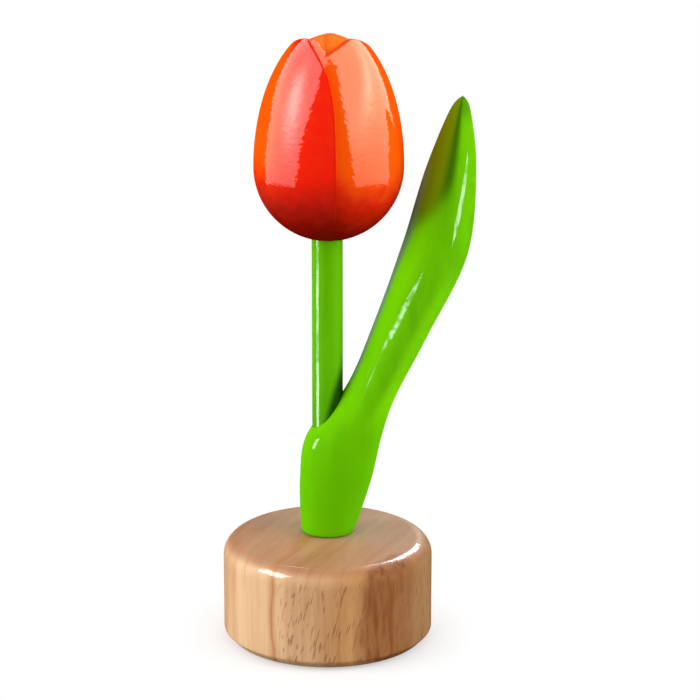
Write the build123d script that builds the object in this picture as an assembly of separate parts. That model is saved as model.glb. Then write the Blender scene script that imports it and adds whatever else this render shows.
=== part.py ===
from build123d import *
import math
import os

# Wooden tulip on a turned base: four pieces glued on one dowel.
# Millimetres, +Z up. The origin is the middle of the base's underside, and the front faces -Y.

# Fits
glue_clearance = 0.05        # between the dowel and each hole, per side

# Base: a turned beech disc, rounded on top and chamfered below
base_diameter = 41.0
base_height = 20.0
base_top_rounding = 3.4
base_bottom_chamfer = 1.6
base_socket_depth = 13.0

# Stem: a straight dowel that stands behind the middle of the base
stem_diameter = 6.0
stem_setback = 3.7
stem_free_length = 60.8      # from the base's top to the flower's underside
stem_end_chamfer = 0.5

# Flower: an egg turned from two half ellipses, then carved into overlapping petals
flower_diameter = 29.0
flower_offset = 0.25         # its axis lies this far to the right of the stem's
flower_lower_height = 14.5   # from the egg's lower pole to its widest circle
flower_upper_height = 27.3   # from the widest circle to the egg's upper pole
flower_flat_diameter = 10.0  # where the underside is cut flat around the stem
flower_socket_depth = 20.0
petal_count = 3
petal_step_low = 0.1         # how far each petal's edge stands over the next one
petal_step_high = 0.85
crease_azimuth = 6.2         # degrees to the right of the front, in the lower half
crease_sweep = 185.0         # degrees that the edge would sweep to the left on its way to the egg's pole
crease_curl = 5              # the higher, the later on its way up the edge turns to the left

# Notches between the petals' tips, one row each: the direction in degrees to the right of the front,
# the depth under the egg's upper pole, and the slopes of the tips to its left and to its right
notches = (
    (-4.5, 4.1, 54.0, 31.0),
    (115.0, 6.4, 47.0, 35.0),
    (-125.0, 6.4, 35.0, 45.0),
)
dimple_depth = 6.4           # the cone in which the three notches meet
dimple_slope = 45.0

# Slices through the egg: degrees up from its lower pole, and up from its widest circle
lower_slices = (38.0, 55.0, 72.0)
upper_slices = (0.0, 18.0, 34.0, 47.0, 58.0, 67.0, 75.0)

# Leaf: a sleeve on the stem that grows into a thick carved blade
sleeve_wall = 2.2
leaf_height = 88.3
leaf_reach = 28.65           # from the stem's axis to the outermost edge
leaf_depth = 13.0            # front to back at the widest place
leaf_slices = 3              # blended sections from one station to the next

# Stations up the leaf: inner edge and outer edge, each across and up, then the depth.
# Across runs from the sleeve's far wall (0) to the leaf's full reach (1).
# Up is a share of the leaf's height, and depth a share of its depth.
leaf_stations = (
    (-0.007, 0.120, 0.408, 0.120, 0.87),
    (0.037, 0.228, 0.471, 0.226, 0.89),
    (0.263, 0.338, 0.550, 0.318, 0.88),
    (0.442, 0.508, 0.740, 0.465, 0.95),
    (0.590, 0.676, 0.956, 0.645, 1.00),
    (0.711, 0.835, 1.000, 0.832, 0.83),
    (0.845, 0.966, 0.965, 0.965, 0.36),
)
leaf_tip = (0.920, 1.000)

stem_radius = stem_diameter / 2
bore_radius = stem_radius + glue_clearance
sleeve_radius = bore_radius + sleeve_wall
stem_foot = base_height - base_socket_depth
flower_seat = base_height + stem_free_length


def drilled(bottom, top):
    """A straight drilled hole for the dowel, between two heights on the stem's axis."""
    hole = Cylinder(bore_radius, top - bottom, align=(Align.CENTER, Align.CENTER, Align.MIN))
    return Pos(0, stem_setback, bottom) * hole


def make_base():
    radius = base_diameter / 2
    shoulder = base_height - base_top_rounding
    flat = radius - base_top_rounding
    outline = Polyline(
        (0, base_height),
        (0, 0),
        (radius - base_bottom_chamfer, 0),
        (radius, base_bottom_chamfer),
        (radius, shoulder),
    )
    rounding = RadiusArc((radius, shoulder), (flat, base_height), -base_top_rounding)
    top = Line((flat, base_height), (0, base_height))
    profile = make_face(Plane.XZ * (outline + rounding + top))
    return revolve(profile, Axis.Z) - drilled(stem_foot, base_height + base_top_rounding)


def make_stem():
    length = base_socket_depth + stem_free_length + flower_socket_depth
    dowel = Cylinder(stem_radius, length, align=(Align.CENTER, Align.CENTER, Align.MIN))
    ends = dowel.edges().filter_by(GeomType.CIRCLE)
    return Pos(0, stem_setback, stem_foot) * chamfer(ends, stem_end_chamfer)


def around(radius, azimuth):
    """A point at an azimuth in degrees, counted to the right from the front."""
    turn = math.radians(azimuth)
    return (radius * math.sin(turn), -radius * math.cos(turn))


def petal_section(radius, height, step, crease):
    """A slice through the flower: each petal runs outwards to its edge and steps down to the next."""
    share = 360 / petal_count
    inner = radius - step / 2
    outer = radius + step / 2
    edges = []
    for petal in range(petal_count):
        edge = crease + petal * share
        skin = ThreePointArc(
            around(inner, edge - share),
            around(radius, edge - share / 2),
            around(outer, edge),
        )
        edges += [skin, Line(around(outer, edge), around(inner, edge))]
    return Pos(0, 0, height) * make_face(edges)


def make_egg():
    """The flower before its tips are cut, with the underside flat at height 0."""
    radius = flower_diameter / 2
    flat_angle = math.asin(flower_flat_diameter / flower_diameter)
    widest = flower_lower_height * math.cos(flat_angle)
    pole = widest + flower_upper_height
    outline = [(flower_flat_diameter / 2, 0, crease_azimuth)]
    for angle in lower_slices:
        rise = math.radians(angle)
        outline.append((radius * math.sin(rise), widest - flower_lower_height * math.cos(rise), crease_azimuth))
    for angle in upper_slices:
        rise = math.radians(angle)
        crease = crease_azimuth - crease_sweep * (angle / 90) ** crease_curl
        outline.append((radius * math.cos(rise), widest + flower_upper_height * math.sin(rise), crease))
    slices = []
    for width, height, crease in outline:
        step = petal_step_low + (petal_step_high - petal_step_low) * height / pole
        slices.append(petal_section(width, height, step, crease))
    return loft(slices), pole


def make_notch(floor, left, right):
    """What is cut away at the front between two tips, from the axis outwards."""
    radius = flower_diameter / 2
    rim = floor + 2 * radius
    profile = Polyline(
        (0, floor),
        (radius, floor + radius * math.tan(math.radians(right))),
        (radius, rim),
        (-radius, rim),
        (-radius, floor + radius * math.tan(math.radians(left))),
        close=True,
    )
    return extrude(Plane.XZ * make_face(profile), radius + petal_step_high)


def make_dimple(floor):
    width = dimple_depth / math.tan(math.radians(dimple_slope))
    cone = Cone(0, width, dimple_depth, align=(Align.CENTER, Align.CENTER, Align.MIN))
    return Pos(0, 0, floor) * cone


def make_flower():
    flower, pole = make_egg()
    for azimuth, depth, left, right in notches:
        flower -= Rot(0, 0, azimuth) * make_notch(pole - depth, left, right)
    flower -= make_dimple(pole - dimple_depth)
    placed = Pos(flower_offset, stem_setback, flower_seat) * flower
    return placed - drilled(flower_seat - stem_end_chamfer, flower_seat + flower_socket_depth)


def blended(rows, place):
    """A row between the stations, on a smooth curve through the four nearest ones."""
    first = min(int(place), len(rows) - 2)
    part = place - first
    before = rows[max(first - 1, 0)]
    after = rows[min(first + 2, len(rows) - 1)]
    weights = (
        (-part + 2 * part**2 - part**3) / 2,
        (2 - 5 * part**2 + 3 * part**3) / 2,
        (part + 4 * part**2 - 3 * part**3) / 2,
        (-(part**2) + part**3) / 2,
    )
    columns = zip(before, rows[first], rows[first + 1], after)
    return [sum(weight * value for weight, value in zip(weights, column)) for column in columns]


def make_leaf():
    span = sleeve_radius + leaf_reach
    foot = (0, 0, 2 * sleeve_radius / span, 0, 2 * sleeve_radius / leaf_depth)
    rows = (foot,) + leaf_stations + (leaf_tip + leaf_tip + (0,),)
    sections = []
    for number in range((len(rows) - 1) * leaf_slices):
        inner, low, outer, high, depth = blended(rows, number / leaf_slices)
        start = Vector(inner * span - sleeve_radius, 0, low * leaf_height)
        end = Vector(outer * span - sleeve_radius, 0, high * leaf_height)
        along = end - start
        normal = Vector(-along.Z, 0, along.X)
        plane = Plane((start + end) * 0.5, x_dir=along, z_dir=normal)
        sections.append(plane * Ellipse(along.length / 2, depth * leaf_depth / 2))
    tip = Vertex(leaf_tip[0] * span - sleeve_radius, 0, leaf_tip[1] * leaf_height)
    leaf = loft(sections + [tip])
    bore = Cylinder(bore_radius, leaf_height, align=(Align.CENTER, Align.CENTER, Align.MIN))
    return Pos(0, stem_setback, base_height) * (leaf - bore)


os.makedirs("parts", exist_ok=True)
export_step(make_base(), "parts/pedestal_base.step")
export_step(make_stem(), "parts/stem_dowel.step")
export_step(make_leaf(), "parts/leaf.step")
export_step(make_flower(), "parts/flower_head.step")
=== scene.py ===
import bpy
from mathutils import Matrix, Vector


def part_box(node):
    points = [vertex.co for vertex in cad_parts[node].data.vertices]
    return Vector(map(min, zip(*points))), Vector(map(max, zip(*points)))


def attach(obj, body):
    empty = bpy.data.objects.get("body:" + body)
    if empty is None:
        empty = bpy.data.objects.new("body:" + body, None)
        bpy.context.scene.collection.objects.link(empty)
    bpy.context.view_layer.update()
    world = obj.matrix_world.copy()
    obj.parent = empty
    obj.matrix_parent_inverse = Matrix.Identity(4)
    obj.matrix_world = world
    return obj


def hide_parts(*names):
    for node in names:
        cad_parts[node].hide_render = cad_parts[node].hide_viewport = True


bl_info = {
    "name": "Wooden Tulip",
    "version": (1, 0, 0),
    "blender": (4, 5, 0),
    "location": "View3D > Sidebar > Tulip",
    "description": "Builds a lacquered wooden tulip on a varnished base around its CAD frame",
    "category": "Object",
}

import math
from bisect import bisect

import bpy
from bpy.props import FloatProperty, FloatVectorProperty, PointerProperty
from mathutils import Quaternion, Vector, noise

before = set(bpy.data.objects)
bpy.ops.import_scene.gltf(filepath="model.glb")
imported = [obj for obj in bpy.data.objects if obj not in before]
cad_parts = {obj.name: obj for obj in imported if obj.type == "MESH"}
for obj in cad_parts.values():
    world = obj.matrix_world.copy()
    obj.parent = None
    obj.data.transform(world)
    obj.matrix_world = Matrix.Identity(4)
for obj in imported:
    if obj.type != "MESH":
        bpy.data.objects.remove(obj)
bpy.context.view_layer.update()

MM = 0.001
BASE_LOW, BASE_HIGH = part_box("pedestal_base")
STEM_LOW, STEM_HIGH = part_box("stem_dowel")
LEAF_LOW, LEAF_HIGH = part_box("leaf")
FLOWER_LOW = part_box("flower_head")[0]
STEM_AXIS = Vector(((STEM_LOW.x + STEM_HIGH.x) / 2, (STEM_LOW.y + STEM_HIGH.y) / 2, 0))
STEM_RADIUS = (STEM_HIGH.x - STEM_LOW.x) / 2
BASE_AXIS = Vector(((BASE_LOW.x + BASE_HIGH.x) / 2, (BASE_LOW.y + BASE_HIGH.y) / 2, 0))


def paint(red, green, blue):
    """A colour as it is seen on screen, 0 to 255, turned into the linear values that shaders take."""
    tones = []
    for tone in (red, green, blue):
        share = tone / 255
        tones.append(share / 12.92 if share <= 0.04045 else ((share + 0.055) / 1.055) ** 2.4)
    return tuple(tones)


def length(title, what, millimetres):
    """A setting for a length, with its default in millimetres."""
    return FloatProperty(
        name=title,
        description=what,
        default=millimetres * MM,
        min=0,
        precision=5,
        unit="LENGTH",
        subtype="DISTANCE",
    )


def colour(title, what, red, green, blue):
    """A setting for a colour, with its default as it is seen on screen."""
    return FloatVectorProperty(
        name=title,
        description=what,
        default=paint(red, green, blue),
        size=3,
        min=0,
        max=1,
        subtype="COLOR",
    )


def brightness(title, what, default):
    """A setting for a light's brightness."""
    return FloatProperty(name=title, description=what, default=default, min=0)


class BaseSettings(bpy.types.PropertyGroup):
    rounding: length("Top rounding", "Radius between the base's top and its side", 3.4)
    chamfer: length("Bottom chamfer", "Width of the chamfer under the side", 1.6)
    softening: length("Softening", "How far sanding has rounded the chamfer's edges", 0.35)
    socket: length("Socket depth", "Depth of the hole for the stem", 13.0)
    # Pale wood on the left is partly the beech's own colour and partly painted light where the left lamp
    # falls.
    pale_and_lit_wood: colour("Pale wood", "Beech on the left of the base", 221, 182, 140)
    tan_wood: colour("Tan wood", "Beech from the middle to the right", 201, 151, 97)
    # Dull wood on the far right is painted shade, where the side turns away from the left lamp.
    painted_shade_wood: colour("Dull wood", "Beech on the far right of the base", 162, 124, 82)
    # End grain on the top is partly the beech's darker end grain and partly painted shade, the top getting
    # less light than the sides.
    end_grain_and_shade: colour("End grain", "Beech across the grain, on the base's top", 185, 131, 95)
    # The greyed end grain at the back of the top is a painted sheen: the backdrop's reflection at a grazing
    # angle.
    painted_sheen_wood: colour("Greyed end grain", "Beech on the back of the base's top", 178, 145, 118)
    ring_shade: colour("Ring shade", "How much darker the growth rings are", 224, 204, 186)
    fleck_wood: colour("Fleck wood", "Short dark flecks along the grain", 132, 80, 40)
    heart_wood: colour("Heartwood", "Brown band on the right", 132, 73, 30)
    streak_wood: colour("Streak wood", "Narrow streak on the left", 182, 120, 70)


class StemSettings(bpy.types.PropertyGroup):
    chamfer: length("End chamfer", "Chamfer at both ends of the dowel", 0.5)
    green: colour("Green", "Lacquer on the stem", 100, 184, 6)
    # Deep green is thicker lacquer in streaks, and also painted shade on the stem's lower part towards the
    # leaf.
    deep_green_and_shade: colour("Deep green", "Thicker lacquer in streaks and towards the leaf", 82, 160, 5)
    # Light green on the stem's right side is painted light.
    painted_light_green: colour("Light green", "Thinner lacquer on the stem's right side", 118, 208, 10)
    # Dark green where the stem meets the leaf is painted shade in the crevice between them.
    painted_shade_green: colour("Dark green", "Lacquer gathered where the stem meets the leaf", 24, 74, 2)


class LeafSettings(bpy.types.PropertyGroup):
    wall: length("Sleeve wall", "Wood between the stem's hole and the sleeve's outside", 2.2)
    clearance: length("Glue clearance", "Gap around the stem", 0.05)
    depth: length("Depth", "Front to back at the widest place", 13.0)
    foot_rounding: length("Foot rounding", "Rounding where the sleeve stands on the base", 0.7)
    unevenness: length("Unevenness", "How deep the carving's unevenness goes", 0.05)
    green: colour("Green", "Lacquer on the leaf", 106, 190, 4)
    # Deep green is thicker lacquer in clouds, and also painted shade on the leaf's lower part and sleeve.
    deep_green_and_shade: colour("Deep green", "Thicker lacquer in clouds on the leaf", 92, 174, 4)
    # Light green on the blade is painted light: its left half where the left lamp falls, and a painted sheen
    # on its lower right edge.
    painted_light_green: colour("Light green", "Thinner lacquer on the blade's two edges", 118, 206, 3)
    # This colour beside the flower is the flower's shadow and reflection, painted on the blade.
    olive: colour("Olive", "Sprayed shade on the blade beside the flower", 120, 150, 3)
    # Dark green on the blade is painted shade: the edge of the flower's shadow, and the darker tip.
    painted_shade_green: colour("Dark green", "Edge of the sprayed shade", 62, 106, 4)
    # Grey green along the blade's inner edge is a painted reflection of the grey studio at a grazing angle.
    painted_edge_reflection: colour("Grey green", "Thin lacquer along the blade's inner edge", 116, 156, 94)


class FlowerSettings(bpy.types.PropertyGroup):
    diameter: length("Diameter", "Widest circle of the egg", 29.0)
    offset: length("Offset", "Distance of the egg's axis to the right of the stem's", 0.25)
    lower: length("Lower height", "From the egg's lower pole to its widest circle", 14.5)
    upper: length("Upper height", "From the widest circle to the egg's upper pole", 27.3)
    flat: length("Flat diameter", "Flat underside around the stem", 10.0)
    socket: length("Socket depth", "Depth of the hole for the stem", 20.0)
    step_low: length("Lower step", "How far a petal's edge stands over the next one at the bottom", 0.1)
    step_high: length("Upper step", "How far a petal's edge stands over the next one at the top", 0.85)
    lip: length("Lip rounding", "Rounding of the carved tips", 0.45)
    unevenness: length("Unevenness", "How deep the carving's unevenness goes", 0.03)
    orange: colour("Orange", "Lacquer on the petals", 246, 86, 6)
    red: colour("Red", "Sprayed flame along a petal's edge", 243, 34, 12)
    # Deep red under the flower is partly deep red paint and partly painted shade, the underside getting less
    # light.
    deep_red_and_shade: colour("Deep red", "Sprayed shade under the flower", 134, 14, 4)
    # The rim colour also draws the fold line inside the dome.
    rim: colour("Rim", "Thicker lacquer along the carved tips", 228, 66, 10)
    inner: colour("Inner orange", "Lighter lacquer between the tips", 250, 122, 34)


class StageSettings(bpy.types.PropertyGroup):
    elevation: FloatProperty(
        name="Elevation",
        description="Camera's angle over the horizon",
        default=math.radians(17.758),
        subtype="ANGLE",
    )
    distance: length("Distance", "From the camera to the point that it looks at", 700.66)
    aim: FloatVectorProperty(
        name="Aim",
        description="Point that the camera looks at",
        default=(0.004402, 0, 0.058512),
        subtype="XYZ",
    )
    lens: FloatProperty(name="Lens", description="Focal length in millimetres", default=186.07, min=1)
    left: brightness("Left lamp", "Brightness of the soft lamp on the left", 3.9)
    right: brightness("Right lamp", "Brightness of the soft lamp on the right", 3.6)
    fill: brightness("Fill", "Brightness of the light from all around", 1.05)
    panels: brightness("Panels", "Brightness of the mirrored panels", 2.8)
    cores: brightness("Cores", "Brightness of the lamps behind the panels", 8.0)
    strips: brightness("Strips", "Brightness of the strips seen as highlights", 9.0)
    studio: brightness("Studio", "Brightness of the dark studio in reflections", 0.04)
    wall: brightness("Wall", "What the wall behind adds to the studio's brightness", 0.07)
    floor: colour("Floor", "Pale floor", 244, 244, 244)


class Nodes:
    """A node tree under construction, of a material or the world: adds nodes and joins them."""

    def __init__(self, owner):
        owner.use_nodes = True
        self.tree = owner.node_tree

    def feed(self, socket, value):
        """Joins a node's output to a socket, or sets the socket to a constant."""
        if isinstance(value, bpy.types.NodeSocket):
            self.tree.links.new(value, socket)
        elif socket.type == "RGBA" and len(value) == 3:
            socket.default_value = (*value, 1)
        else:
            socket.default_value = value

    def add(self, kind, inputs=(), **settings):
        """A new node with its inputs fed."""
        node = self.tree.nodes.new("ShaderNode" + kind)
        for name, value in settings.items():
            setattr(node, name, value)
        for socket, value in dict(inputs).items():
            self.feed(node.inputs[socket], value)
        return node

    def math(self, operation, first, second=0.0, clamp=False):
        values = {0: first, 1: second}
        return self.add("Math", values, operation=operation, use_clamp=clamp).outputs[0]

    def show(self, shader):
        """Makes a shader the one that the material or the world shows."""
        out = next(node for node in self.tree.nodes if node.type.startswith("OUTPUT_"))
        self.feed(out.inputs["Surface"], shader)

    def shown_white(self, ordinary, white):
        """Joins two shaders: the white one is what the camera, mirrors and glass see."""
        path = self.add("LightPath").outputs
        seen = path["Is Camera Ray"]
        for name in ("Is Glossy Ray", "Is Transmission Ray"):
            seen = self.math("MAXIMUM", seen, path[name])
        return self.add("MixShader", {0: seen, 1: ordinary, 2: white}).outputs[0]


class Finish(Nodes):
    """A material under construction, with its surface node."""

    def __init__(self, name):
        self.material = bpy.data.materials.new(name)
        super().__init__(self.material)
        self.surface = self.tree.nodes["Principled BSDF"]

    def along(self, size, turn=(0, 0, 0)):
        """The object's own coordinates, turned and told in units of a size in millimetres per axis."""
        where = self.add("TexCoord").outputs["Object"]
        moved = {"Vector": where, "Rotation": turn, "Scale": [each * MM for each in size]}
        return self.add("Mapping", moved, vector_type="TEXTURE").outputs["Vector"]

    def noise(self, vector, detail=2.0, distortion=0.0):
        values = {"Vector": vector, "Scale": 1.0, "Detail": detail, "Distortion": distortion}
        return self.add("TexNoise", values).outputs["Fac"]

    def span(self, value, low, high, to_low=0.0, to_high=1.0):
        """Smoothly from one value to another while the input goes from low to high."""
        values = {"Value": value, "From Min": low, "From Max": high}
        values.update({"To Min": to_low, "To Max": to_high})
        return self.add("MapRange", values, interpolation_type="SMOOTHSTEP").outputs["Result"]

    def mix(self, share, first, second, how="MIX"):
        """Blends two colours by a share."""
        values = {"Factor_Float": share, "A_Color": first, "B_Color": second}
        node = self.add("Mix", data_type="RGBA", blend_type=how)
        for socket in node.inputs:
            if socket.identifier in values:
                self.feed(socket, values[socket.identifier])
        return next(socket for socket in node.outputs if socket.identifier == "Result_Color")

    def stored(self, name):
        """A value that the mesh keeps at each of its points."""
        return self.add("Attribute", attribute_name=name).outputs["Fac"]

    def bump(self, height, depth, under=None):
        values = {"Height": height, "Distance": depth, "Strength": 1.0}
        if under is not None:
            values["Normal"] = under
        return self.add("Bump", values).outputs["Normal"]

    def set(self, **sockets):
        """Feeds sockets of the surface node, named with underlines for spaces."""
        for name, value in sockets.items():
            self.feed(self.surface.inputs[name.replace("_", " ")], value)


def brushed_lacquer(finish, base_colour, ripple, coat):
    """Hand-brushed gloss lacquer: ripples, a slow wave, and gloss that dulls at the outline."""
    strokes = finish.noise(finish.along((1.4, 1.4, 0.9)), detail=1.0)
    wave = finish.noise(finish.along((6, 6, 6)), detail=1.0)
    cloud = finish.noise(finish.along((8, 8, 8)))
    waved = finish.bump(wave, ripple * MM)
    turned_away = finish.add("LayerWeight", {"Blend": 0.5}).outputs["Facing"]
    gloss = finish.math("MULTIPLY", finish.span(turned_away, 0.5, 0.92, 1.0, 0.12), coat)
    normal = finish.bump(strokes, 0.6 * ripple * MM, waved)
    finish.set(
        Base_Color=base_colour,
        Roughness=finish.span(cloud, 0.3, 0.7, 0.24, 0.34),
        Normal=normal,
        Coat_Normal=normal,
        Coat_Weight=gloss,
        Coat_Roughness=0.04,
        Coat_IOR=1.5,
        Specular_IOR_Level=0.0,
    )
    return finish.material


def petal_finish(settings):
    """Orange lacquer with a red flame along one petal, darker below in deep red that is partly paint and
    partly painted shade, with rimmed tips and a painted shade line along the crease.
    """
    finish = Finish("brushed_petals")
    mottle = finish.noise(finish.along((2.4, 2.4, 2.4)), detail=3.0)
    uneven = finish.span(mottle, 0.3, 0.7, -0.08, 0.08)
    overlaid = finish.math("ADD", finish.stored("redness"), uneven, clamp=True)
    upper = finish.mix(overlaid, settings.orange, settings.red)
    # Towards the bottom the petals turn red, then deep red: partly paint, partly painted shade.
    shade = finish.math("ADD", finish.stored("rise"), finish.span(mottle, 0.3, 0.7, -0.02, 0.02))
    reddened = finish.mix(finish.span(shade, 0.46, 0.26, 0.0, 0.85), upper, settings.red)
    lower = finish.mix(finish.span(shade, 0.43, 0.05), reddened, settings.deep_red_and_shade)
    # Painted shade: a fine dark line along the crease under the overlapping petal's edge.
    crease_shaded = finish.mix(finish.math("MULTIPLY", finish.stored("seam"), 0.32), lower, settings.deep_red_and_shade)
    streak = finish.noise(finish.along((0.5, 3, 6)))
    inner = finish.mix(finish.span(streak, 0.5, 0.75, 0.0, 0.5), settings.inner, settings.orange)
    lined = finish.mix(finish.stored("inside"), crease_shaded, inner)
    edged = finish.mix(finish.math("MULTIPLY", finish.stored("lip"), 0.95), lined, settings.rim)
    return brushed_lacquer(finish, edged, 0.08, finish.stored("gleam"))


def leaf_finish(settings):
    """Green lacquer in clouds, with painted light and painted shade, the flower's painted shadow and
    reflection beside it, and a painted reflection along the inner edge.
    """
    finish = Finish("brushed_leaf")
    cloud = finish.noise(finish.along((3, 3, 14)), detail=3.0)
    coat = finish.mix(finish.span(cloud, 0.35, 0.7, 0.0, 0.6), settings.green, settings.deep_green_and_shade)
    height = finish.add("SeparateXYZ", {0: finish.along((1, 1, 1))}).outputs["Z"]
    # Painted shade: the leaf darkens towards its foot.
    shaded_low = finish.mix(finish.span(height, 48, 30, 0.0, 0.7), coat, settings.deep_green_and_shade)
    # Painted light on the blade's left half and lower right edge.
    painted_lit = finish.mix(finish.stored("light"), shaded_low, settings.painted_light_green)
    # Painted shade at the edge of the flower's shadow and at the tip.
    shaded = finish.mix(finish.stored("shade"), painted_lit, settings.painted_shade_green)
    # Painted shadow and reflection of the flower on the blade beside it.
    overlaid = finish.mix(finish.stored("olive"), shaded, settings.olive)
    # Painted reflection along the blade's inner edge.
    edged = finish.mix(finish.stored("inner_edge"), overlaid, settings.painted_edge_reflection)
    uneven = finish.span(finish.noise(finish.along((1.2, 1.2, 2.0))), 0.38, 0.53, 0.15, 1.0)
    gloss = finish.math("MULTIPLY", finish.stored("gleam"), uneven)
    return brushed_lacquer(finish, edged, 0.015, gloss)


def stem_finish(settings):
    """Green lacquer in streaks, with painted light on its right side, painted shade towards the leaf, and
    darker painted shade in the crevice beside it.
    """
    finish = Finish("brushed_stem")
    streak = finish.noise(finish.along((1.1, 1.1, 20)), detail=3.0)
    coat = finish.mix(finish.span(streak, 0.3, 0.8, 0.0, 0.6), settings.green, settings.deep_green_and_shade)
    place = finish.add("SeparateXYZ", {0: finish.along((1, 1, 1))}).outputs
    # Painted light: the stem's right side is lighter.
    painted_lit = finish.mix(finish.span(place["X"], -0.5, 2.6), coat, settings.painted_light_green)
    # Painted shade: the stem darkens towards the leaf.
    shaded_low = finish.mix(finish.span(place["Z"], 58, 42, 0.0, 0.9), painted_lit, settings.deep_green_and_shade)
    # Painted shade in the crevice between the stem and the leaf.
    slanted = finish.math("SUBTRACT", place["X"], finish.math("MULTIPLY", place["Z"], 0.27))
    low = finish.span(place["Z"], 59, 50, 0.0, 0.97)
    shade_beside_leaf = finish.math("MULTIPLY", finish.span(slanted, -13.0, -11.4), low)
    shadowed = finish.mix(shade_beside_leaf, shaded_low, settings.painted_shade_green)
    uneven = finish.span(finish.noise(finish.along((0.9, 0.9, 3.0))), 0.36, 0.58, 0.3, 1.0)
    return brushed_lacquer(finish, shadowed, 0.07, uneven)


# How far the growth rings are turned, and where across them the base's two marks lie in millimetres
RING_TURN = math.radians(-23.5)
HEART_PLACE = 16.9
STREAK_PLACE = -3.3


def beech_finish(settings):
    """Varnished beech with its grain upright: rings slanting across it, short flecks along it. Its pale left
    side is partly painted light, its far right painted shade, its top partly painted shade, and the back of
    its top a painted sheen.
    """
    finish = Finish("polished_beech")
    across = (0, 0, RING_TURN)
    place = finish.add("SeparateXYZ", {0: finish.along((1, 1, 1), across)}).outputs
    wobble = finish.span(finish.noise(finish.along((9, 18, 14), across)), 0.2, 0.8, -1.2, 1.2)
    ring_place = finish.math("ADD", place["X"], wobble)
    rings = finish.noise(finish.along((1.5, 16, 40), across), detail=3.0, distortion=0.3)
    wide = finish.noise(finish.along((7, 30, 60), across), detail=1.0)
    fine = finish.noise(finish.along((0.35, 4, 9), across), detail=2.0)
    # From pale on the left to tan in the middle: partly the beech's own colour, partly painted light on the
    # left.
    toned_and_lit = finish.mix(finish.span(ring_place, 2, 13), settings.pale_and_lit_wood, settings.tan_wood)
    # Painted shade: the far right of the side turns to dull wood.
    shaded_right = finish.mix(finish.span(ring_place, 13, 20, 0.0, 0.9), toned_and_lit, settings.painted_shade_wood)
    # The top: end grain, partly painted shade, turning towards the back into a painted sheen.
    top = finish.mix(finish.span(place["Y"], -4, 3, 0.0, 0.7), settings.end_grain_and_shade, settings.painted_sheen_wood)
    grained = finish.mix(finish.span(place["Z"], 18.2, 19.8, 0.0, 0.85), shaded_right, top)
    for grain, low, high, most in ((rings, 0.4, 0.75, 0.45), (wide, 0.4, 0.65, 0.5), (fine, 0.5, 0.8, 0.45)):
        share = finish.span(grain, low, high, 0.0, most)
        grained = finish.mix(share, grained, settings.ring_shade, "MULTIPLY")
    off_band = finish.math("ABSOLUTE", finish.math("SUBTRACT", ring_place, HEART_PLACE))
    blot = finish.noise(finish.along((1.2, 1.2, 8), across), detail=4.0)
    blotch = finish.span(blot, 0.35, 0.65, 0.65, 1.0)
    front = finish.span(place["Y"], -6, -2, 1.0, 0.2)
    within = finish.math("MULTIPLY", finish.span(off_band, 4.0, 1.0), front)
    band = finish.math("MULTIPLY", within, blotch)
    off_streak = finish.math("ABSOLUTE", finish.math("SUBTRACT", ring_place, STREAK_PLACE))
    soft_streak = finish.span(off_streak, 1.4, 0.2, 0.0, 0.5)
    streak = finish.math("ADD", soft_streak, finish.span(off_streak, 0.4, 0.05, 0.0, 0.4))
    streaked = finish.mix(streak, grained, settings.streak_wood)
    hearted = finish.mix(band, streaked, settings.heart_wood)
    slanted = (math.radians(-4), math.radians(14), 0)
    fleck = finish.noise(finish.along((0.45, 0.45, 5.0), slanted), detail=1.0)
    fleck_side = finish.span(place["X"], -3, 1)
    below_top = finish.span(place["Z"], 18.6, 16.4)
    fleck_place = finish.math("MULTIPLY", fleck_side, below_top)
    flecks = finish.math("MULTIPLY", finish.span(fleck, 0.57, 0.68), fleck_place)
    wood = finish.mix(finish.math("MULTIPLY", flecks, 0.6), hearted, settings.fleck_wood)
    turned_away = finish.add("LayerWeight", {"Blend": 0.5}).outputs["Facing"]
    sanded = finish.bump(fleck, 0.006 * MM)
    varnish = finish.bump(finish.noise(finish.along((1.1, 1.1, 1.1)), detail=2.0), 0.035 * MM)
    finish.set(
        Base_Color=wood,
        Roughness=finish.span(wide, 0.3, 0.7, 0.42, 0.56),
        Normal=sanded,
        Coat_Normal=varnish,
        Coat_Weight=finish.span(turned_away, 0.55, 0.69, 0.5, 0.16),
        Coat_Roughness=0.11,
        Coat_IOR=1.45,
        Specular_IOR_Level=0.2,
    )
    return finish.material


def smooth(value, low, high):
    """From 0 to 1 while a value goes from low to high."""
    share = min(max((value - low) / (high - low), 0), 1)
    return share * share * (3 - 2 * share)


def bell(value, middle, width):
    """1 at the middle, falling off softly on both sides."""
    return math.exp(-(((value - middle) / width) ** 2))


def skin(name, rings):
    """A closed mesh over rings of points, with a point in the middle of the first and the last ring."""
    count = len(rings[0])
    points = [point for ring in rings for point in ring]
    faces = []
    for row in range(len(rings) - 1):
        low, high = row * count, (row + 1) * count
        for column in range(count):
            beside = (column + 1) % count
            faces.append((low + column, low + beside, high + beside, high + column))
    for ring, first, flip in ((rings[0], 0, True), (rings[-1], (len(rings) - 1) * count, False)):
        middle = len(points)
        points.append(sum(ring, Vector()) / count)
        for column in range(count):
            pair = (first + column, first + (column + 1) % count)
            faces.append((*reversed(pair), middle) if flip else (*pair, middle))
    mesh = bpy.data.meshes.new(name)
    mesh.from_pydata(points, [], faces)
    mesh.update()
    return mesh


def circle(middle, radius, height, count):
    """Points around an upright axis."""
    points = []
    for number in range(count):
        turn = 2 * math.pi * number / count
        x, y = middle.x + radius * math.cos(turn), middle.y + radius * math.sin(turn)
        points.append(Vector((x, y, height)))
    return points


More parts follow.
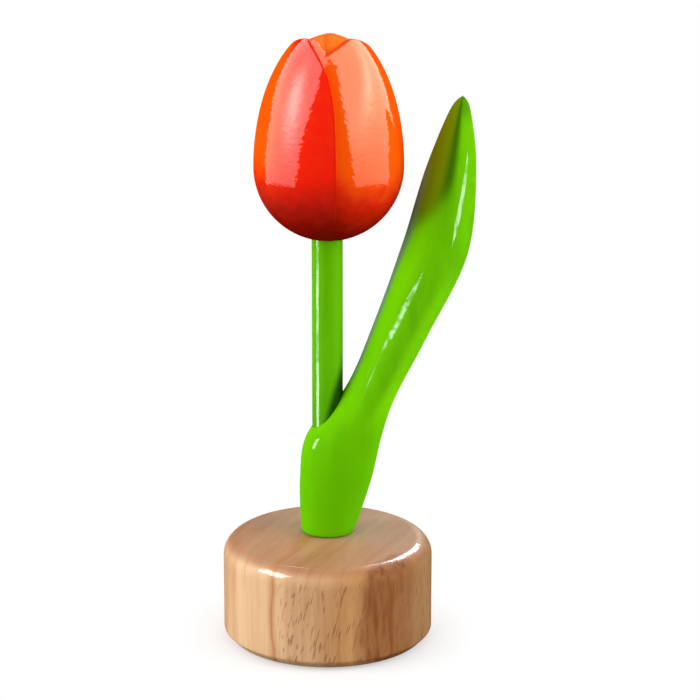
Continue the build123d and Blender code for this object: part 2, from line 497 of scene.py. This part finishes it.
def fillet(corner, before, after, radius, count=5):
    """Points that round a corner of an outline by cutting it back towards its two neighbours."""
    corner = Vector(corner)
    start = corner + (Vector(before) - corner).normalized() * radius
    end = corner + (Vector(after) - corner).normalized() * radius
    points = []
    for number in range(count + 1):
        share = number / count
        points.append(start.lerp(corner, share).lerp(corner.lerp(end, share), share))
    return points


def roughen(mesh, depth, size):
    """Carves the surface in by up to a depth, in soft waves of a given size."""
    normals = [vertex.normal.copy() for vertex in mesh.vertices]
    for vertex, normal in zip(mesh.vertices, normals):
        wave = noise.noise(vertex.co / size) * 0.5 + 0.5
        vertex.co -= normal * depth * min(max(wave, 0), 1)
    mesh.update()


def store(mesh, name, values):
    """Keeps a value at each point of a mesh, for its material to read."""
    layer = mesh.attributes.new(name, "FLOAT", "POINT")
    layer.data.foreach_set("value", values)


def in_scene(name, data):
    """A new object in the scene."""
    thing = bpy.data.objects.new(name, data)
    bpy.context.scene.collection.objects.link(thing)
    return thing


def put(name, mesh, node, material, sharp=math.radians(38)):
    """Shows a finished mesh in place of its CAD node."""
    mesh.materials.append(material)
    mesh.shade_smooth()
    mesh.set_sharp_from_angle(angle=sharp)
    piece = in_scene(name, mesh)
    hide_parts(node)
    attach(piece, "root")


# How finely the pieces are divided: around, and along each stretch of their outlines
BASE_COLUMNS = 240
BASE_SIDE_ROWS = 12
BASE_ROUNDING_ROWS = 24
STEM_COLUMNS = 96
STEM_ROWS = 60
LEAF_COLUMNS = 120
LEAF_FOOT_ROWS = 6
LEAF_STATION_ROWS = 24
LEAF_TIP_ROWS = 20
EGG_LOWER_ROWS = 48
EGG_UPPER_ROWS = 151
PETAL_COLUMNS = 60


class TULIP_OT_base(bpy.types.Operator):
    """Turn the varnished beech base"""

    bl_idname = "tulip.base"
    bl_label = "Base"

    def execute(self, context):
        settings = context.scene.tulip_base
        radius = (BASE_HIGH.x - BASE_LOW.x) / 2
        bottom, top = BASE_LOW.z, BASE_HIGH.z
        bore = STEM_RADIUS + context.scene.tulip_leaf.clearance
        inner = radius - settings.chamfer
        low, high = (inner, bottom), (radius, bottom + settings.chamfer)
        outline = [(inner * 0.5, bottom)]
        outline += fillet(low, (0, bottom), high, settings.softening)
        outline += fillet(high, low, (radius, top), settings.softening)
        shoulder = top - settings.rounding
        side = shoulder - bottom - settings.chamfer
        for number in range(1, BASE_SIDE_ROWS):
            outline.append((radius, bottom + settings.chamfer + side * number / BASE_SIDE_ROWS))
        for number in range(BASE_ROUNDING_ROWS + 1):
            turn = math.pi / 2 * number / BASE_ROUNDING_ROWS
            width = radius - settings.rounding * (1 - math.cos(turn))
            outline.append((width, shoulder + settings.rounding * math.sin(turn)))
        rings = [circle(BASE_AXIS, width, height, BASE_COLUMNS) for width, height in outline]
        flat = rings[-1]
        rim = circle(STEM_AXIS, bore, top, BASE_COLUMNS)
        for share in (0.35, 0.7, 1.0):
            rings.append([far.lerp(near, share) for far, near in zip(flat, rim)])
        rings.append(circle(STEM_AXIS, bore, top - settings.socket, BASE_COLUMNS))
        mesh = skin("beech_base", rings)
        put("beech_base", mesh, "pedestal_base", beech_finish(settings))
        return {"FINISHED"}


class TULIP_OT_stem(bpy.types.Operator):
    """Cut the lacquered dowel"""

    bl_idname = "tulip.stem"
    bl_label = "Stem"

    def execute(self, context):
        settings = context.scene.tulip_stem
        narrow = STEM_RADIUS - settings.chamfer
        bottom, top = STEM_LOW.z, STEM_HIGH.z
        outline = [(narrow, bottom), (STEM_RADIUS, bottom + settings.chamfer)]
        straight = top - bottom - 2 * settings.chamfer
        for number in range(1, STEM_ROWS):
            outline.append((STEM_RADIUS, bottom + settings.chamfer + straight * number / STEM_ROWS))
        outline += [(STEM_RADIUS, top - settings.chamfer), (narrow, top)]
        rings = [circle(STEM_AXIS, width, height, STEM_COLUMNS) for width, height in outline]
        put("stem", skin("stem", rings), "stem_dowel", stem_finish(settings))
        return {"FINISHED"}


# Stations up the leaf, the same as in the solid: inner and outer edge, each across and up, then the depth
LEAF_STATIONS = (
    (-0.007, 0.120, 0.408, 0.120, 0.87),
    (0.037, 0.228, 0.471, 0.226, 0.89),
    (0.263, 0.338, 0.550, 0.318, 0.88),
    (0.442, 0.508, 0.740, 0.465, 0.95),
    (0.590, 0.676, 0.956, 0.645, 1.00),
    (0.711, 0.835, 1.000, 0.832, 0.83),
    (0.845, 0.966, 0.965, 0.965, 0.36),
)
LEAF_TIP = (0.920, 1.000)
# The glossy place on the sleeve's shoulder, in millimetres
SHOULDER = Vector((-2.3, -0.2, 39.3))


def blended(rows, place):
    """A row between the stations, on a smooth curve through the four nearest ones."""
    first = min(int(place), len(rows) - 2)
    part = place - first
    before = rows[max(first - 1, 0)]
    after = rows[min(first + 2, len(rows) - 1)]
    weights = (
        (-part + 2 * part**2 - part**3) / 2,
        (2 - 5 * part**2 + 3 * part**3) / 2,
        (part + 4 * part**2 - 3 * part**3) / 2,
        (-(part**2) + part**3) / 2,
    )
    columns = zip(before, rows[first], rows[first + 1], after)
    return [sum(weight * value for weight, value in zip(weights, column)) for column in columns]


def between(points, height):
    """Where an edge lies at a height, from a list of heights and places on it."""
    last = min(max(bisect(points, (height, 0)), 1), len(points) - 1)
    (low, start), (high, end) = points[last - 1 : last + 1]
    share = min(max((height - low) / max(high - low, 1e-9), 0), 1)
    return start + (end - start) * share


class TULIP_OT_leaf(bpy.types.Operator):
    """Carve the leaf with its sleeve and drill it for the stem"""

    bl_idname = "tulip.leaf"
    bl_label = "Leaf"

    def execute(self, context):
        settings = context.scene.tulip_leaf
        bore = STEM_RADIUS + settings.clearance
        sleeve = bore + settings.wall
        span = LEAF_HIGH.x - STEM_AXIS.x + sleeve
        height = LEAF_HIGH.z - LEAF_LOW.z
        corner = Vector((STEM_AXIS.x - sleeve, STEM_AXIS.y, LEAF_LOW.z))
        foot = (0, 0, 2 * sleeve / span, 0, 2 * sleeve / settings.depth)
        rows = (foot,) + LEAF_STATIONS + (LEAF_TIP + LEAF_TIP + (0,),)
        last = len(rows) - 1
        places = [number / LEAF_STATION_ROWS for number in range(1, LEAF_STATION_ROWS * (last - 1))]
        for number in range(LEAF_TIP_ROWS):
            places.append(last - 1 + math.sin(math.pi / 2 * number / LEAF_TIP_ROWS))
        rings, inner_edge, outer_edge = [], [], []
        rounding = settings.foot_rounding
        for number in range(LEAF_FOOT_ROWS + 1):
            turn = math.pi / 2 * number / LEAF_FOOT_ROWS
            width = sleeve - rounding * (1 - math.sin(turn))
            level = LEAF_LOW.z + rounding * (1 - math.cos(turn))
            rings.append(circle(STEM_AXIS, width, level, LEAF_COLUMNS))
        for place in places:
            inner, low, outer, high, depth = blended(rows, place)
            start = corner + Vector((inner * span, 0, low * height))
            end = corner + Vector((outer * span, 0, high * height))
            if start.z < LEAF_LOW.z + 1.5 * rounding:
                continue
            inner_edge.append((start.z, start.x))
            outer_edge.append((end.z, end.x))
            half = (end - start) / 2
            back = Vector((0, depth * settings.depth / 2, 0))
            ring = []
            for column in range(LEAF_COLUMNS):
                turn = 2 * math.pi * column / LEAF_COLUMNS
                ring.append((start + end) / 2 + half * math.cos(turn) + back * math.sin(turn))
            rings.append(ring)
        mesh = skin("leaf", rings)
        roughen(mesh, settings.unevenness, 6 * MM)
        ends = (LEAF_LOW.z - 0.1 * height, LEAF_HIGH.z - 0.1 * height)
        drill = skin("drill", [circle(STEM_AXIS, bore, end, STEM_COLUMNS) for end in ends])
        carved = self.drilled(context, mesh, drill)
        self.spray(carved, inner_edge, outer_edge)
        put("carved_leaf", carved, "leaf", leaf_finish(settings))
        return {"FINISHED"}

    def drilled(self, context, mesh, hole):
        """The leaf's mesh with the stem's hole cut out of it."""
        leaf = in_scene("leaf_carved", mesh)
        drill = in_scene("drill", hole)
        cut = leaf.modifiers.new("bore", "BOOLEAN")
        cut.object = drill
        cut.solver = "MANIFOLD"
        graph = context.evaluated_depsgraph_get()
        carved = bpy.data.meshes.new_from_object(leaf.evaluated_get(graph))
        for each in (leaf, drill):
            bpy.data.objects.remove(each)
        carved.name = "carved_leaf"
        carved.materials.clear()
        return carved

    def spray(self, mesh, inner_edge, outer_edge):
        """Stores where the leaf has painted light, painted shade, the flower's painted shadow and reflection,
        a painted reflection along its inner edge, and gloss.
        """
        shades = {"light": [], "shade": [], "olive": [], "inner_edge": [], "gleam": []}
        for vertex in mesh.vertices:
            point = vertex.co / MM
            inner, outer = between(inner_edge, vertex.co.z), between(outer_edge, vertex.co.z)
            across = (vertex.co.x - inner) / max(outer - inner, 0.1 * MM)
            upper = smooth(point.z - 13 * across, 80, 87.5)
            # Painted light on the left half and the lower right edge; painted shade at the tip.
            left = smooth(across, 0.5, 0.2) * (0.1 + 0.9 * smooth(point.z, 60, 80))
            right = smooth(across, 0.6, 0.8) * smooth(point.z, 78, 68)
            tip = 0.55 * smooth(point.z, 102.5, 106.5)
            blade = smooth(point.z, 50, 56) * smooth(across, 0.2, 0.3)
            shades["light"].append((left + right) * smooth(point.z, 40, 48))
            shades["shade"].append(max(0.95 * smooth(across, 0.65, 0.47) * upper, tip))
            shades["olive"].append(0.85 * smooth(across, 0.46, 0.28) * upper)
            # Painted reflection along the inner edge.
            grazing_reflection = smooth(across, 0.05 + 0.07 * smooth(point.z, 72, 84), 0.02)
            shades["inner_edge"].append(grazing_reflection * smooth(point.z, 50, 56) * smooth(point.z, 98, 90))
            glint = smooth((point - SHOULDER).length, 2.8, 1.6)
            shades["gleam"].append(max(0.03, blade, glint))
        for name, values in shades.items():
            store(mesh, name, values)


# Notches between the petals' tips, the same as in the solid: direction to the right of the front in degrees,
# depth under the egg's upper pole in millimetres, and the slopes of the tips to its left and to its right
NOTCHES = (
    (-4.5, 4.1, 54.0, 31.0),
    (115.0, 6.4, 47.0, 35.0),
    (-125.0, 6.4, 35.0, 45.0),
)
# The cone in which the notches meet: its depth in millimetres and its slope
DIMPLE = (6.4, 45.0)
# The petals, each to the right of the one before
LEFT, RIGHT, BACK = PETALS = range(3)
# Where a petal's edge lies in degrees to the right of the front, how far it would sweep to the left on its
# way to the egg's pole, and how late it does so
CREASE_AZIMUTH = 6.2
CREASE_SWEEP = 185.0
CREASE_CURL = 5
# From where across a petal its edge is rounded, the share of the step that this takes, and the distance from
# the axis within which the steps fade
ROUNDED_FROM = 0.994
ROUNDED_SHARE = 0.65
STEP_FADE = 6 * MM


def soft_minimum(first, second, rounding):
    """The lower of two heights, with the corner between them rounded."""
    overlap = max(rounding - abs(first - second), 0) / rounding
    return min(first, second) - overlap**2 * rounding / 4


def tip_height(radius, azimuth, pole, rounding):
    """How high the carved tips reach over a point of the flower."""
    dimple, slope = DIMPLE
    height = pole - dimple * MM + radius * math.tan(math.radians(slope))
    for middle, depth, left, right in NOTCHES:
        turn = (azimuth - middle + 180) % 360 - 180
        if abs(turn) < 90:
            across = radius * math.sin(math.radians(abs(turn)))
            rounded = math.hypot(across, rounding)
            wall = pole - depth * MM + rounded * math.tan(math.radians(right if turn > 0 else left))
            height = soft_minimum(height, wall, rounding)
    return height


class TULIP_OT_flower(bpy.types.Operator):
    """Carve the overlapping petals and spray them orange and red"""

    bl_idname = "tulip.flower"
    bl_label = "Flower"

    def columns(self):
        """Places across one petal, 0 at its left edge and 1 at its right, closer together at the edges."""
        places = [number / PETAL_COLUMNS for number in range(PETAL_COLUMNS)]
        places += [0.99, ROUNDED_FROM, 0.9955, 0.997, 0.998, 0.999, 0.9996, 1.0]
        return [0.0, 0.004] + places[1:]

    def outline(self, settings, flat_angle, widest):
        """Radius and height of the egg, from its flat underside to just under its pole."""
        radius = settings.diameter / 2
        points = []
        for number in range(EGG_LOWER_ROWS + 1):
            angle = flat_angle + (math.pi / 2 - flat_angle) * number / EGG_LOWER_ROWS
            points.append((radius * math.sin(angle), widest - settings.lower * math.cos(angle)))
        for number in range(1, EGG_UPPER_ROWS):
            angle = math.pi / 2 * (1 - (1 - number / EGG_UPPER_ROWS) ** 1.25)
            points.append((radius * math.cos(angle), widest + settings.upper * math.sin(angle)))
        return points

    def execute(self, context):
        settings = context.scene.tulip_flower
        bore = STEM_RADIUS + context.scene.tulip_leaf.clearance
        seat = FLOWER_LOW.z
        axis = STEM_AXIS + Vector((settings.offset, 0, 0))
        flat_angle = math.asin(settings.flat / settings.diameter)
        widest = settings.lower * math.cos(flat_angle)
        pole = widest + settings.upper
        rings = []
        shades = {"redness": [], "lip": [], "inside": [], "seam": [], "rise": [], "gleam": []}
        for width, height in self.outline(settings, flat_angle, widest):
            share = height / pole
            rise = math.asin(max(0, height - widest) / settings.upper)
            crease = CREASE_AZIMUTH - CREASE_SWEEP * (2 * rise / math.pi) ** CREASE_CURL
            step = settings.step_low + (settings.step_high - settings.step_low) * share
            step *= min(1, width / STEP_FADE)
            ring = []
            for petal in PETALS:
                for place in self.columns():
                    azimuth = crease + (petal - 1 + place) * 360 / len(PETALS)
                    edge = max(place - ROUNDED_FROM, 0) / (1 - ROUNDED_FROM)
                    drop = ROUNDED_SHARE * step * (1 - math.sqrt(max(0, 1 - edge**2)))
                    out = max(width + step * (place - 0.5) - drop, 0.02 * MM)
                    top = tip_height(out, azimuth, pole, settings.lip)
                    turn = math.radians(azimuth)
                    point = Vector((out * math.sin(turn), -out * math.cos(turn), 0))
                    point.z = seat + soft_minimum(height, top, settings.lip)
                    ring.append(axis + point)
                    over = (height - top) / MM
                    for name, value in self.spray(petal, place, share, over, azimuth, point).items():
                        shades[name].append(value)
            rings.append(ring)
        hidden = [0.0] * (3 * len(rings[0]))
        rim = [self.around(point, bore, seat) for point in rings[0]]
        roof = [point + Vector((0, 0, settings.socket)) for point in rim]
        rings = [roof, rim, [far.lerp(near, 0.5) for far, near in zip(rings[0], rim)]] + rings
        mesh = skin("petals", rings)
        roughen(mesh, settings.unevenness, 5 * MM)
        for name, values in shades.items():
            store(mesh, name, hidden + values + [0.0, values[-1]])
        finish = petal_finish(settings)
        put("petals", mesh, "flower_head", finish, sharp=math.radians(50))
        return {"FINISHED"}

    def spray(self, petal, place, share, over, azimuth, point):
        """The paint at a point: its place across the petal, share of the height, and height over the tips."""
        inside = smooth(over, 0.2, 0.8)
        seam = smooth(place, 0.982, 0.992) * smooth(share, 0.14, 0.32) * smooth(over, -0.2, -1)
        lip = smooth(over, -0.75, -0.3) * smooth(over, 1.3, 0.8)
        if petal != RIGHT or azimuth < NOTCHES[0][0]:
            lip *= 0.35
        behind = -math.cos(math.radians(azimuth))
        # The fold is a dark line painted in the rim's colour along a crease inside the dome that is not
        # carved.
        fold = smooth(abs(point.x / MM + 0.5), 0.45, 0.1) * smooth(behind, 0.1, 0.5)
        # The right and back petals start their painted shade lower down.
        paler = {LEFT: 0.0, RIGHT: 0.07 * smooth(place, -0.02, 0.15), BACK: 0.06}
        glossy = smooth(share, 0.12, 0.2) if petal == LEFT else smooth(share, 0.19, 0.25)
        dull = smooth(max(seam, lip, inside), 0.2, 0.9)
        return {
            "redness": smooth(place, 0.44, 0.72) if petal == LEFT else 0.0,
            "lip": max(lip, 0.55 * inside * fold),
            "inside": inside,
            "seam": seam,
            "rise": share + paler[petal],
            "gleam": (0.04 + 0.96 * glossy) * (1 - 0.97 * dull),
        }

    def around(self, point, bore, height):
        """The point of the stem's hole that faces a point of the underside."""
        out = (point - STEM_AXIS).to_2d().normalized() * bore
        return Vector((STEM_AXIS.x + out.x, STEM_AXIS.y + out.y, height))


def direction(azimuth, rise):
    """A direction in degrees to the right of the front and over the horizon."""
    turn, level = math.radians(azimuth), math.radians(rise)
    return Vector((math.sin(turn) * math.cos(level), -math.cos(turn) * math.cos(level), math.sin(level)))


def lit_only(thing, names):
    """Lets a strip or a glowing shell be seen by a few pieces alone."""
    pieces = bpy.data.collections.new(thing.name + "_on")
    for name in names:
        pieces.objects.link(bpy.data.objects[name])
    thing.light_linking.receiver_collection = pieces


def light(name, target, azimuth, rise, distance, width, height, level, roll=0.0):
    """A rectangular lamp that faces a point, told by its direction from there and its brightness."""
    lamp = bpy.data.lights.new(name, "AREA")
    lamp.shape = "RECTANGLE"
    lamp.size = width
    lamp.size_y = height
    lamp.energy = level * math.pi * width * height
    thing = in_scene(name, lamp)
    out = direction(azimuth, rise)
    thing.location = Vector(target) + out * distance
    thing.rotation_mode = "QUATERNION"
    thing.rotation_quaternion = out.to_track_quat("Z", "Y") @ Quaternion((0, 0, 1), math.radians(roll))
    thing.visible_camera = False
    return thing


# The stage's sizes in metres: the floor, how far it lies under the base and where it fades to white, then the
# mirrored shells around the flower's middle, and the lamps and strips
FLOOR_RADIUS = 0.075
FLOOR_DROP = 0.0002
FLOOR_FADE = (0.0195, 0.031)
FLOWER_MIDDLE = 0.097
STUDIO_RADIUS = 0.5
PANEL_RADIUS = 0.24
LAMPS_AIM = 0.075
LAMP_DISTANCE = 0.35
LAMP_SIZE = 0.3
STRIP_DISTANCE = 0.19
# Degrees between the points of a mirrored shell
SHELL_STEP = 2
# Strips seen as highlights: name, place of the highlight in millimetres, direction from there to the strip,
# width and height in metres, roll in degrees, share of the strips' brightness, and the piece that shows it
STRIPS = (
    ("blade_strip", (25.6, -1.3, 89.4), 63.7, -12.6, 0.036, 0.13, -61, 1.0, "carved_leaf"),
    ("hollow_strip", (14.2, -2.2, 65.7), -40, -5.2, 0.125, 0.01, -10, 1.1, "carved_leaf"),
    ("shoulder_strip", SHOULDER, -78.4, 2.9, 0.035, 0.04, 0, 1.2, "carved_leaf"),
    ("stem_strip", (-1.8, 1.4, 58.6), -79, -16, 0.075, 0.2, 0, 1.1, "stem"),
    ("left_rim_strip", (-10.4, -16.9, 18.6), -74, 41, 0.1, 0.075, 0, 3.2, "beech_base"),
    ("right_rim_strip", (14.6, -10.3, 19.8), 160, 33, 0.045, 0.06, 0, 3.6, "beech_base"),
    ("back_rim_strip", (0, -17.4, 19.9), 165, 40, 0.13, 0.02, 0, 0.9, "beech_base"),
)


class TULIP_OT_stage(bpy.types.Operator):
    """Set up the floor, the soft light and the camera"""

    bl_idname = "tulip.stage"
    bl_label = "Stage"

    def floor(self, settings):
        """A small pale floor that fades into the white around it."""
        mesh = bpy.data.meshes.new("floor")
        rim = circle(Vector(), FLOOR_RADIUS, -FLOOR_DROP, BASE_COLUMNS)
        mesh.from_pydata(rim, [], [tuple(range(len(rim)))])
        finish = Finish("floor")
        finish.set(Base_Color=settings.floor, Roughness=0.9)
        where = finish.add("TexCoord").outputs["Object"]
        away = finish.add("VectorMath", {0: where}, operation="LENGTH").outputs["Value"]
        white = finish.span(away, *FLOOR_FADE, 0.4, 1.0)
        glow = finish.add("Emission", {"Color": (1, 1, 1), "Strength": 1.0}).outputs[0]
        lit = finish.surface.outputs[0]
        fade = finish.add("MixShader", {0: white, 1: lit, 2: glow}).outputs[0]
        dim = finish.add("BsdfDiffuse", {"Color": (0.4, 0.4, 0.4)}).outputs[0]
        finish.show(finish.shown_white(dim, fade))
        mesh.materials.append(finish.material)
        floor = in_scene("floor", mesh)
        floor.visible_glossy = False

    def backdrop(self, settings, azimuth, rise):
        """How bright the studio looks in a direction in degrees: dark, but for a grey wall behind."""
        wall = smooth(abs(azimuth), 110, 150) * smooth(rise, -14, 0) * smooth(rise, 32, 24)
        return settings.studio + settings.wall * wall

    def left_panel(self, settings, azimuth, rise):
        """How bright the left panel looks: a level that grows upwards, and a lamp's core behind it."""
        outer = -110 - 1.2 * max(0, rise - 5)
        edge = -43 + 0.5 * rise + 16 * smooth(rise, 54, 63)
        inside = smooth(azimuth, outer - 2, outer + 2) * smooth(azimuth, edge + 1, edge - 1)
        level = 0.78 + 0.37 * smooth(rise, -18, 15)
        core = bell(azimuth, -63.5 - 0.1 * rise, 14) * bell(rise, 21, 18)
        return inside * (level * settings.panels + core * settings.cores) * smooth(rise, -21, -19)

    def right_panel(self, settings, azimuth, rise):
        """How bright the right panel looks, made like the left one."""
        outer = 125 + max(0, rise - 5)
        edge = max(22, 33 - 0.32 * rise) - 25 * smooth(rise, 54, 63)
        inside = smooth(azimuth, edge - 1, edge + 1) * smooth(azimuth, outer + 2, outer - 2)
        level = 0.75 + 0.9 * smooth(rise, -16, 18)
        core = 0.6 * bell(azimuth, 87 + 1.5 * (rise - 26), 18) * bell(rise, 25, 13)
        return inside * (level * settings.panels + core * settings.cores) * smooth(rise, -21, -19)

    def shell(self, name, settings, glow, left, right, low, high, radius, tint):
        """A piece of a sphere around the flower that only reflections see, with its own glow."""
        columns = range(left, right + 1, SHELL_STEP)
        rows = range(low, high + 1, SHELL_STEP)
        spots = [(azimuth, rise) for rise in rows for azimuth in columns]
        middle = STEM_AXIS + Vector((0, 0, FLOWER_MIDDLE))
        points = [middle + direction(*spot) * radius for spot in spots]
        count = len(columns)
        faces = []
        for row in range(len(rows) - 1):
            for corner in range(row * count, row * count + count - 1):
                faces.append((corner, corner + 1, corner + 1 + count, corner + count))
        mesh = bpy.data.meshes.new(name)
        mesh.from_pydata(points, [], faces)
        store(mesh, "glow", [glow(settings, *spot) for spot in spots])
        finish = Finish(name)
        shine = {"Color": tint, "Strength": finish.stored("glow")}
        finish.show(finish.add("Emission", shine).outputs[0])
        finish.material.cycles.emission_sampling = "NONE"
        mesh.materials.append(finish.material)
        shell = in_scene(name, mesh)
        for kind in ("camera", "diffuse", "transmission", "shadow"):
            setattr(shell, "visible_" + kind, False)
        return shell

    def mirrored(self, settings):
        """What the lacquer mirrors: a dark studio for all, and a bright panel on each side for the petals."""
        pale, cool, warm = (1, 0.95, 0.9), (1, 1, 0.92), (1, 1, 0.76)
        self.shell("backdrop", settings, self.backdrop, -180, 180, -88, 88, STUDIO_RADIUS, pale)
        left = self.shell("left_panel", settings, self.left_panel, -180, 0, -22, 88, PANEL_RADIUS, cool)
        right = self.shell("right_panel", settings, self.right_panel, 0, 180, -22, 88, PANEL_RADIUS, warm)
        for panel in (left, right):
            lit_only(panel, ("petals",))

    def lamps(self, settings):
        """Two soft lamps for the shading, and strips that show as highlights on single pieces."""
        middle = STEM_AXIS + Vector((0, 0, LAMPS_AIM))
        for name, azimuth, rise, level in (
            ("left_lamp", -78, 10, settings.left),
            ("right_lamp", 80, 14, settings.right),
        ):
            lamp = light(name, middle, azimuth, rise, LAMP_DISTANCE, LAMP_SIZE, LAMP_SIZE, level)
            lamp.visible_glossy = False
        for name, target, azimuth, rise, width, height, roll, share, piece in STRIPS:
            target = Vector(target) * MM
            level = settings.strips * share
            strip = light(name, target, azimuth, rise, STRIP_DISTANCE, width, height, level, roll)
            strip.visible_diffuse = False
            lit_only(strip, (piece,))

    def world(self, settings):
        """Light from all around, strongest a little over the horizon. The camera sees plain white."""
        world = bpy.data.worlds.new("studio")
        bpy.context.scene.world = world
        sky = Nodes(world)
        height = sky.add("SeparateXYZ", {0: sky.add("TexCoord").outputs["Generated"]}).outputs["Z"]
        rise = sky.add("MapRange", {"Value": height, "From Min": -1}).outputs["Result"]
        ramp = sky.add("FloatCurve", {"Value": rise})
        curve = ramp.mapping.curves[0]
        curve.points[0].location = (0, 0.1)
        curve.points[1].location = (1, 0.2)
        for place in ((0.3, 0.12), (0.5, 0.85), (0.65, 1)):
            curve.points.new(*place)
        ramp.mapping.update()
        level = sky.math("MULTIPLY", ramp.outputs["Value"], settings.fill)
        dim = sky.tree.nodes["Background"]
        sky.feed(dim.inputs["Color"], (1, 1, 1))
        sky.feed(dim.inputs["Strength"], level)
        white = sky.add("Background", {"Color": (1, 1, 1)}).outputs[0]
        sky.show(sky.shown_white(dim.outputs[0], white))

    def camera(self, settings):
        """The camera in front, tilted down to its aim."""
        camera = bpy.data.cameras.new("camera")
        camera.lens = settings.lens
        camera.sensor_width = 36
        camera.clip_start = 0.05
        thing = in_scene("camera", camera)
        rise = settings.elevation
        back = Vector((0, -math.cos(rise), math.sin(rise)))
        thing.location = Vector(settings.aim) + back * settings.distance
        thing.rotation_euler = (math.pi / 2 - rise, 0, 0)
        bpy.context.scene.camera = thing

    def execute(self, context):
        settings = context.scene.tulip_stage
        self.floor(settings)
        self.mirrored(settings)
        self.lamps(settings)
        self.world(settings)
        self.camera(settings)
        context.scene.view_settings.view_transform = "Standard"
        return {"FINISHED"}


class TULIP_PT_sidebar(bpy.types.Panel):
    """Lists the pieces of the tulip in the order in which they are made"""

    bl_idname = "TULIP_PT_sidebar"
    bl_label = "Wooden Tulip"
    bl_space_type = "VIEW_3D"
    bl_region_type = "UI"
    bl_category = "Tulip"

    def draw(self, context):
        for group, operator in zip(GROUPS, OPERATORS):
            box = self.layout.box()
            box.operator(operator.bl_idname)
            settings = getattr(context.scene, group)
            for name in settings.__annotations__:
                box.prop(settings, name)


GROUPS = {
    "tulip_base": BaseSettings,
    "tulip_stem": StemSettings,
    "tulip_leaf": LeafSettings,
    "tulip_flower": FlowerSettings,
    "tulip_stage": StageSettings,
}
OPERATORS = (TULIP_OT_base, TULIP_OT_stem, TULIP_OT_leaf, TULIP_OT_flower, TULIP_OT_stage)


def register():
    for kind in (*GROUPS.values(), *OPERATORS, TULIP_PT_sidebar):
        bpy.utils.register_class(kind)
    for name, kind in GROUPS.items():
        setattr(bpy.types.Scene, name, PointerProperty(type=kind))


def unregister():
    for name in GROUPS:
        delattr(bpy.types.Scene, name)
    for kind in reversed((*GROUPS.values(), *OPERATORS, TULIP_PT_sidebar)):
        bpy.utils.unregister_class(kind)


def main():
    register()
    bpy.ops.tulip.base()
    bpy.ops.tulip.stem()
    bpy.ops.tulip.leaf()
    bpy.ops.tulip.flower()
    bpy.ops.tulip.stage()


if __name__ == "__main__":
    main()
